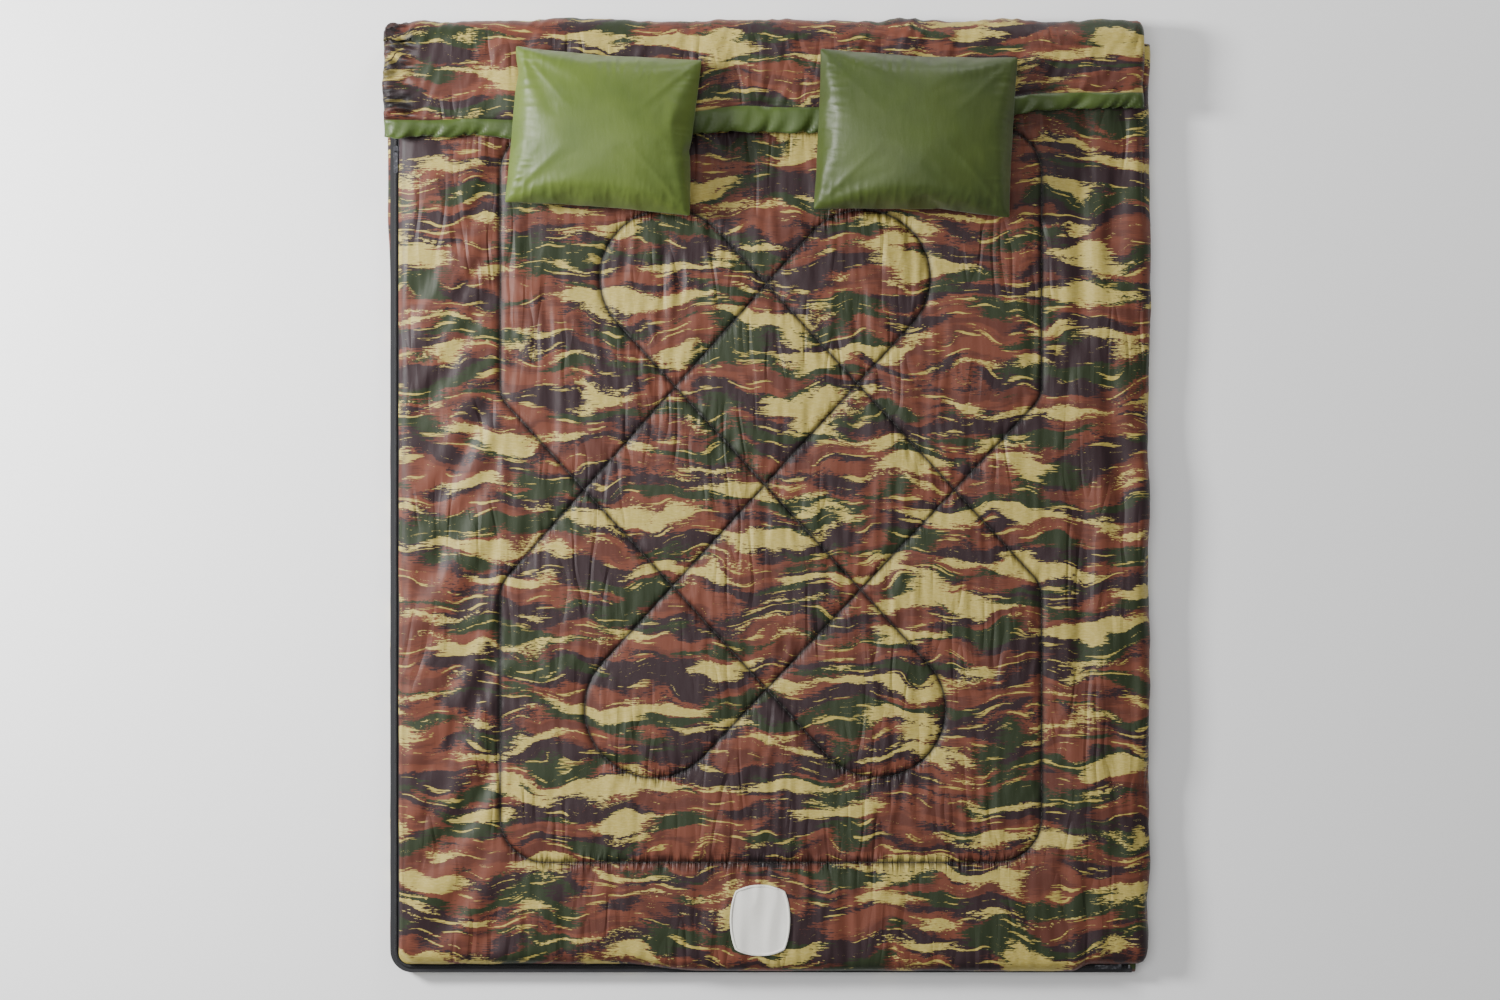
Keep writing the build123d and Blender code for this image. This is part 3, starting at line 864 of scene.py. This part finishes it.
def makeHood():
    width = hood["right"] - hood["left"]
    around = hood["rows"] * hood["spacing"]
    _, edgeStart, edgeEnd, _ = hood["shares"]
    bm = flatGrid(hood["left"], 0, width, around, hood["spacing"])
    places = []
    shades = []
    for vert in bm.verts:
        x = vert.co.x
        s = vert.co.y
        share = s / around
        inside = share > edgeStart + 0.001
        y, z = hoodProfile(share, x)
        fromEnd = min(x - hood["left"], hood["right"] - x)
        rounding = math.sqrt(max(0.0, 1 - (1 - min(fromEnd / hood["endRound"], 1)) ** 2))
        # the section narrows about its own middle line at both ends
        narrow = 0.30 + 0.70 * rounding
        if y < hood["bendY"]:
            middleZ = (hood["top"] + hood["under"]) / 2
            z = middleZ + (z - middleZ) * narrow
        else:
            centre = Vector((hood["bendY"], hood["bendZ"]))
            out = Vector((y, z)) - centre
            middleR = (hood["outer"] + hood["inner"]) / 2
            out = out.normalized() * (middleR + (out.length - middleR) * narrow)
            y, z = centre + out
        places.append((x + 0.4, s + 0.9, 0))
        ruffle = eased((hood["left"] + 0.075 - x) / 0.03)
        pastEdge = s - edgeStart * around
        # painted shade: the ruffled left end is darkened in patches, and a dark line is painted on the
        # outside where it turns under into the rolled edge
        shades.append(min(0.8, ruffle * max(0.0, 0.62 - 1.8 * rough(x, s, 0.04, 0.016, 47.5))
                          + 0.7 * math.exp(-(pastEdge / 0.004) ** 2)))
        push = 0.0
        onRoll = inside and share < edgeEnd
        if not inside:
            push += 0.0070 * rough(x, s, 0.060, 0.13, 44.0)
            push += 0.0034 * ridged(x + s * 0.3, s, 0.028, 0.12, 45.0)
            push += 0.0170 * ruffle * ridged(x, s, 0.05, 0.020, 47.0)
            push *= eased(s / 0.03)
        elif onRoll:
            lean = x + pastEdge * 0.8
            rolled = math.sin(min((share - edgeStart) / (edgeEnd - edgeStart), 1.0) * math.pi)
            push += rolled * 0.0110 * ridged(lean, s, 0.021, 0.09, 51.0)
            push += rolled * 0.010 * rough(x, s, 0.055, 0.09, 52.0)
        out = Vector((0, 0, 1))
        if y > hood["bendY"]:
            out = Vector((0, y - hood["bendY"], z - hood["bendZ"])).normalized()
        elif onRoll:
            out = Vector((0, -0.6, 0.8))
        drop = 0.010 * ruffle * (1 if y > hood["bendY"] else 0)
        xWave = 0.004 * rough(y, z, 0.05, 0.03, 55.0) * eased(1 - fromEnd / 0.03)
        vert.co = Vector((x + xWave, y - drop, max(z, 0.0))) + out * push
        vert.co.z = max(vert.co.z, 0.0)
    piece = placed("hoodQuilt", bm, camoCloth, greenLining)
    columns = max(2, round(width / hood["spacing"]))
    for polygon in piece.data.polygons:
        share = (polygon.index // columns + 0.5) / hood["rows"]
        polygon.material_index = 1 if share > edgeStart else 0
    writeClothPlace(piece, places, shades)
    bm = bmesh.new()
    bm.from_mesh(piece.data)
    # the first and last rows meet in the base
    openEdges = [edge for edge in bm.edges if edge.is_boundary]
    lastRow = len(bm.verts) - columns - 1
    first = [edge for edge in openEdges if all(vert.index <= columns for vert in edge.verts)]
    last = [edge for edge in openEdges if all(vert.index >= lastRow for vert in edge.verts)]
    bmesh.ops.bridge_loops(bm, edges=first + last)
    ends = bmesh.ops.holes_fill(bm, edges=[edge for edge in bm.edges if edge.is_boundary], sides=0)
    bmesh.ops.triangulate(bm, faces=ends["faces"])
    bmesh.ops.recalc_face_normals(bm, faces=bm.faces)
    bm.to_mesh(piece.data)
    bm.free()
    piece.data.shade_smooth()
    return piece


hoodQuilt = makeHood()
print("hood quilt made", len(hoodQuilt.data.polygons))


# pillows: a flat satin envelope, filled, then settled on the hood and the cover

pillow = {
    "spacing": 0.0075,
    "wall": 0.004,
    "rest": 0.0630,
    "hoodRest": 0.0880,
    "seam": 0.0028,
    "evenness": 0.55,
    "middle": 0.112,  # height of the seam
    "tilt": 0.007,
    "creases": 0.0022,
    "cloth": {"quality": 6, "mass": 0.3, "pressure": 0, "volume": 0.0045, "shrink": 0.0, "bending": 0.08,
              "frames": 26, "cap": 0.075},
}


def makePillow(name, coverNode, centre, size, turn, seed, material):
    low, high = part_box(coverNode)
    width, length = size
    bm = flatGrid(-width / 2, -length / 2, width, length, pillow["spacing"])
    bmesh.ops.translate(bm, vec=(0, 0, pillow["wall"] / 2), verts=bm.verts)
    copied = bmesh.ops.duplicate(bm, geom=list(bm.verts) + list(bm.edges) + list(bm.faces))
    lower = [item for item in copied["geom"] if isinstance(item, bmesh.types.BMVert)]
    bmesh.ops.translate(bm, vec=(0, 0, -pillow["wall"]), verts=lower)
    turned = [item for item in copied["geom"] if isinstance(item, bmesh.types.BMFace)]
    bmesh.ops.reverse_faces(bm, faces=turned)
    bmesh.ops.bridge_loops(bm, edges=[edge for edge in bm.edges if edge.is_boundary])
    bmesh.ops.recalc_face_normals(bm, faces=bm.faces)
    bm.verts.index_update()
    for vert in bm.verts:
        vert.co.z += 0.0008 * rough(vert.co.x, vert.co.y, 0.05, 0.05, seed)
    moved = simulated(bm, [], pillow["cloth"])
    seamRows = set()
    for edge in bm.edges:
        rise = abs(edge.verts[0].co.z - edge.verts[1].co.z)
        if len(edge.link_faces) == 2 and rise > pillow["wall"] * 0.5:
            seamRows.update(vert.index for vert in edge.verts)
    thick = (high.z - low.z) / 2
    for index, vert in enumerate(bm.verts):
        # the filled shape, evened out by the firm padding inside
        a = 1 - abs(2 * vert.co.x / width) ** 3
        b = 1 - abs(2 * vert.co.y / length) ** 3
        even = Vector((0, 0, math.copysign(thick * math.sqrt(max(a, 0) * max(b, 0)), vert.co.z)))
        vert.co += even if moved is None else Vector(moved[index]).lerp(even, pillow["evenness"])
    # a pressed seam stands out round the edge
    for index, vert in enumerate(bm.verts):
        if index in seamRows:
            out = Vector((vert.co.x / width, vert.co.y / length, 0)).normalized()
            vert.co += out * pillow["seam"]
            vert.co.z *= 0.6
    piece = placed(name, bm, material)
    fine = piece.modifiers.new("finer", "SUBSURF")
    fine.levels = fine.render_levels = 2
    applied(piece)
    points = np.zeros(len(piece.data.vertices) * 3, np.float32)
    piece.data.vertices.foreach_get("co", points)
    points = points.reshape(-1, 3)
    spread = points.max(0) - points.min(0)
    points[:, 0] *= width / spread[0]
    points[:, 1] *= length / spread[1]
    points[:, 2] *= 2 * thick / spread[2] * 1.02
    c = math.cos(turn)
    s = math.sin(turn)
    out = []
    for x, y, z in points.tolist():
        # small creases running in from the seams
        nearEnd = eased(1 - (width / 2 - abs(x)) / 0.07)
        nearSide = eased(1 - (length / 2 - abs(y)) / 0.07)
        body = eased(abs(z) / 0.03)
        crease = nearEnd * ridged(y, x, 0.016, 0.06, seed + 3)
        crease += nearSide * ridged(x, y, 0.018, 0.06, seed + 5)
        z += math.copysign(pillow["creases"] * body, z) * crease
        wx = centre[0] + c * x - s * y
        wy = centre[1] + s * x + c * y
        overHood = wy - hood["edge"]
        rest = pillow["rest"] + (pillow["hoodRest"] - pillow["rest"]) * eased((overHood + 0.020) / 0.016)
        level = pillow["middle"] + pillow["tilt"] * math.tanh(overHood / 0.08)
        wz = level + z * (high.z - level) / thick if z > 0 else level + z * (level - low.z) / thick
        if z < 0:
            # the underside spreads flat where it rests
            t = (level - wz) / (level - low.z)
            t = min(1.0, t * 1.55)
            t = t * (1.6 - 0.6 * t)
            wz = level - min(t, 1.0) * (level - rest)
        out.append((wx, wy, max(wz, rest)))
    piece.data.vertices.foreach_set("co", np.array(out, np.float32).ravel())
    piece.data.update()
    return piece


pillowLeft = makePillow("pillowLeft", "pillow_left_cover", (-0.329, 0.720), (0.365, 0.306),
                        math.radians(-4.4), 61.0, leftSatin)
pillowRight = makePillow("pillowRight", "pillow_right_cover", (0.285, 0.716), (0.387, 0.313),
                         math.radians(-2.5), 75.0, shadedRightSatin)
print("pillows made", len(pillowLeft.data.polygons))


# the zip: one line of teeth from the head of the open side round the corner to the foot of the closed one

zipper = {
    "headEnd": 0.870,
    "footEnd": 0.715,
    "middle": 0.013,
    "height": 0.0312,
    "pitch": 0.0032,
    "toothRadius": 0.0011,
    "toothLength": 0.0046,
    "toothBack": 0.0013,
    "tapeMiddle": 0.0199,
    "tapeSample": 0.010,
    "tapeSection": [  # inwards from the tape's middle, and height
        (-0.0061, 0.0298), (0.0046, 0.0299), (0.0061, 0.0325), (0.0061, 0.0385),
        (0.0053, 0.0385), (0.0051, 0.0332), (0.0040, 0.0308), (-0.0061, 0.0307),
    ],
}


def zipRoute(inset, sample):
    # the line at a distance in from the bag's outline
    left = base["left"] + inset
    foot = base["foot"] + inset
    radius = max(0.006, base["cornerRadius"] - inset)
    return roundedRoute([
        (Vector((left, zipper["headEnd"], 0)), 0),
        (Vector((left, foot, 0)), radius),
        (Vector((zipper["footEnd"], foot, 0)), 0),
    ], sample, closed=False)


def makeTeeth(name, side):
    bm = bmesh.new()
    points = zipRoute(zipper["middle"], zipper["pitch"])
    shift = 0.0 if side < 0 else 0.5
    for index in range(len(points) - 1):
        here = points[index].lerp(points[index + 1], shift)
        along = (points[index + 1] - points[index]).normalized()
        across = Vector((along.y, -along.x, 0)) * side
        middle = here + across * (zipper["toothLength"] / 2 - zipper["toothBack"])
        middle.z = zipper["height"]
        turned = Matrix((along, Vector((0, 0, 1)), across)).transposed().to_4x4()
        bmesh.ops.create_cone(
            bm, cap_ends=True, segments=6, radius1=zipper["toothRadius"],
            radius2=zipper["toothRadius"] * 1.15, depth=zipper["toothLength"],
            matrix=Matrix.Translation(middle) @ turned,
        )
    bmesh.ops.recalc_face_normals(bm, faces=bm.faces)
    return placed(name, bm, coilBlack)


def makeCoverTape():
    # a flat tape from the teeth in under the cover's hem, closed all round
    points = zipRoute(zipper["tapeMiddle"], zipper["tapeSample"])
    section = zipper["tapeSection"]
    count = len(points)
    bm = bmesh.new()
    bmesh.ops.create_grid(bm, x_segments=count - 1, y_segments=len(section), size=0.5)
    bm.verts.ensure_lookup_table()
    for index, vert in enumerate(bm.verts):
        row, column = divmod(index, count)
        ahead = points[min(column + 1, count - 1)] - points[max(column - 1, 0)]
        across = Vector((-ahead.y, ahead.x, 0)).normalized()
        inwards, height = section[row % len(section)]
        vert.co = points[column] + across * inwards
        vert.co.z = height
    bmesh.ops.remove_doubles(bm, verts=bm.verts, dist=0.00002)
    bmesh.ops.holes_fill(bm, edges=[edge for edge in bm.edges if edge.is_boundary], sides=0)
    bmesh.ops.recalc_face_normals(bm, faces=bm.faces)
    return placed("coverZipTape", bm, tapeBlack)


baseZipTeeth = makeTeeth("baseZipTeeth", -1)
coverZipTeeth = makeTeeth("coverZipTeeth", 1)
coverZipTape = makeCoverTape()
print("zip made", len(baseZipTeeth.data.polygons))


# thread along the quilting line

def makeStitches(name, points, material):
    bm = bmesh.new()
    pitch = threads["stitch"] + threads["gap"]
    travelled = 0.0
    following = 0.0
    for index in range(len(points)):
        start = points[index]
        end = points[(index + 1) % len(points)]
        leg = (end - start).length
        travelled += leg
        if travelled < following:
            continue
        following += pitch
        along = (end - start).normalized()
        a = start - along * threads["stitch"] / 2
        b = start + along * threads["stitch"] / 2
        a.z = onCover(a.x, a.y)
        b.z = onCover(b.x, b.y)
        direction = b - a
        if direction.length > threads["stitch"] * 1.6:
            continue
        turned = direction.to_track_quat("Z", "Y").to_matrix().to_4x4()
        bmesh.ops.create_cone(
            bm, cap_ends=True, segments=5, radius1=threads["radius"], radius2=threads["radius"],
            depth=direction.length, matrix=Matrix.Translation((a + b) / 2) @ turned,
        )
    return placed(name, bm, material)


quiltThread = makeStitches("quiltThread", route, threadDark)
print("thread made", len(quiltThread.data.polygons))


# the patch at the foot, blank, with an overlocked edge

patch = {"thickness": 0.0011, "lift": 0.0006, "cells": 28, "roundness": 0.62,
         "stitch": 0.0048, "stitchRadius": 0.00085, "stitchInset": 0.0014}


def makePatch():
    low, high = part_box("foot_patch")
    width = high.x - low.x
    length = high.y - low.y
    centre = (low + high) / 2
    bm = flatGrid(-0.5, -0.5, 1, 1, 1 / patch["cells"])
    for vert in bm.verts:
        # the square becomes a rounded one
        x = vert.co.x * 2
        y = vert.co.y * 2
        roundX = x * math.sqrt(1 - y * y / 2)
        roundY = y * math.sqrt(1 - x * x / 2)
        x = (x + (roundX - x) * patch["roundness"]) * width / 2
        y = (y + (roundY - y) * patch["roundness"]) * length / 2
        vert.co = Vector((centre.x + x, centre.y + y, 0))
        vert.co.z = onCover(vert.co.x, vert.co.y)
    for _ in range(3):
        bmesh.ops.smooth_vert(bm, verts=list(bm.verts), factor=0.5, use_axis_z=True)
    for vert in bm.verts:
        vert.co.z = max(vert.co.z, onCover(vert.co.x, vert.co.y)) + patch["lift"]
    rim = [vert.co.copy() for vert in orderedRim(bm)]
    bmesh.ops.solidify(bm, geom=bm.faces, thickness=-patch["thickness"])
    bmesh.ops.recalc_face_normals(bm, faces=bm.faces)
    return placed("footPatch", bm, patchWhite), rim


def orderedRim(bm):
    edges = [edge for edge in bm.edges if edge.is_boundary]
    vert = edges[0].verts[0]
    rim = [vert]
    used = set()
    while True:
        following = [edge for edge in vert.link_edges if edge.is_boundary and edge not in used]
        if not following:
            return rim
        used.add(following[0])
        vert = following[0].other_vert(vert)
        rim.append(vert)


def makePatchEdge(rim):
    bm = bmesh.new()
    centre = sum(rim, Vector()) / len(rim)
    for index in range(len(rim) - 1):
        for part in (0.0, 0.33, 0.67):
            here = rim[index].lerp(rim[index + 1], part)
            along = (rim[index + 1] - rim[index]).normalized()
            inwards = Vector((centre.x - here.x, centre.y - here.y, 0)).normalized()
            direction = (inwards + along * 0.35).normalized()
            middle = here + inwards * patch["stitchInset"] + Vector((0, 0, patch["thickness"] + 0.0001))
            turned = direction.to_track_quat("Z", "Y").to_matrix().to_4x4()
            bmesh.ops.create_cone(bm, cap_ends=True, segments=6, radius1=patch["stitchRadius"],
                                  radius2=patch["stitchRadius"], depth=patch["stitch"],
                                  matrix=Matrix.Translation(middle) @ turned)
    return placed("patchEdge", bm, patchWhite)


footPatch, patchRim = makePatch()
patchEdge = makePatchEdge(patchRim)
print("patch made")


# CAD nodes that stay get their finishes

finishes = {
    "base_side_zip_tape": tapeBlack, "base_foot_zip_tape": tapeBlack,
    "side_slider": sliderMetal, "foot_slider": sliderMetal,
    "side_pull_tab": sliderMetal, "foot_pull_tab": sliderMetal,
    "zip_head_stops": stopMetal, "zip_foot_stop": stopMetal,
}
for node, material in finishes.items():
    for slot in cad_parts[node].material_slots:
        slot.material = material

# who rides on what

for piece in (coverQuilt, coverZipTeeth, coverZipTape, quiltThread):
    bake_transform(piece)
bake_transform(hoodQuilt)
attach(baseQuilt, "bag")
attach(baseZipTeeth, "bag")
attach(footPatch, "cover_corner")
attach(patchEdge, "cover_corner")
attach(pillowLeft, "pillow_left")
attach(pillowRight, "pillow_right")

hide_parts("cover_shell", "cover_batting", "cover_lining", "cover_head_hem", "corner_shell",
            "corner_batting", "corner_lining", "side_fold_shell", "side_fold_batting", "side_fold_lining")
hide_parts("base_shell", "base_batting", "base_lining", "base_side_hem", "base_foot_hem")
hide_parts("hood_bend_shell", "hood_bend_batting", "hood_bend_lining", "hood_flap_shell",
            "hood_flap_batting", "hood_flap_lining", "hood_edge_roll")
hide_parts("base_side_zip_coil", "base_foot_zip_coil")
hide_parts("cover_side_zip_coil", "cover_foot_zip_coil", "corner_side_zip_coil",
            "corner_foot_zip_coil")
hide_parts("cover_side_zip_tape", "cover_foot_zip_tape", "corner_side_zip_tape",
            "corner_foot_zip_tape")
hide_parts("foot_patch")
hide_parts("pillow_left_cover", "pillow_left_filling", "pillow_left_seam")
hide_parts("pillow_right_cover", "pillow_right_filling", "pillow_right_seam")

print("pieces joined to their bodies")


# floor, light and camera

stageSet = {
    "floor": 6.0,
    "room": 0.34,
    "lamps": (  # name, place, size and power
        ("topSoftbox", (-0.9, 0.2, 4.2), 2.0, 60),
        ("keySoftbox", (-3.2, 0.9, 1.9), 0.8, 270),
        ("farSoftbox", (1.0, 3.6, 1.7), 1.0, 50),
    ),
    "lens": 60,
    "across": 2.985,  # width of the view at the bag's height
    "centre": (-0.040, -0.005),
    "aim": 0.05,
}


def makeStage():
    bm = bmesh.new()
    bmesh.ops.create_grid(bm, x_segments=1, y_segments=1, size=stageSet["floor"])
    bmesh.ops.translate(bm, vec=(0, 0, -0.0012), verts=bm.verts)
    material, _, shader = startMaterial("pale floor", 0.9, specular=0.1)
    shader.inputs["Base Color"].default_value = (0.93, 0.93, 0.93, 1)
    floor = placed("floor", bm, material)
    world = bpy.data.worlds.new("soft room")
    world.use_nodes = True
    room = world.node_tree.nodes["Background"]
    room.inputs["Color"].default_value = (1, 1, 1, 1)
    room.inputs["Strength"].default_value = stageSet["room"]
    bpy.context.scene.world = world
    for name, position, size, power in stageSet["lamps"]:
        light = bpy.data.lights.new(name, "AREA")
        light.energy = power
        light.size = size
        lamp = bpy.data.objects.new(name, light)
        lamp.location = position
        lamp.rotation_euler = (-Vector(position)).to_track_quat("-Z", "Y").to_euler()
        bpy.context.scene.collection.objects.link(lamp)


def makeCamera():
    data = bpy.data.cameras.new("camera")
    data.lens = stageSet["lens"]
    data.sensor_width = 36
    camera = bpy.data.objects.new("camera", data)
    distance = stageSet["lens"] * stageSet["across"] / data.sensor_width
    camera.location = (*stageSet["centre"], stageSet["aim"] + distance)
    camera.rotation_euler = Euler((0, 0, 0))
    bpy.context.scene.collection.objects.link(camera)
    bpy.context.scene.camera = camera


makeStage()
makeCamera()
print("stage made")
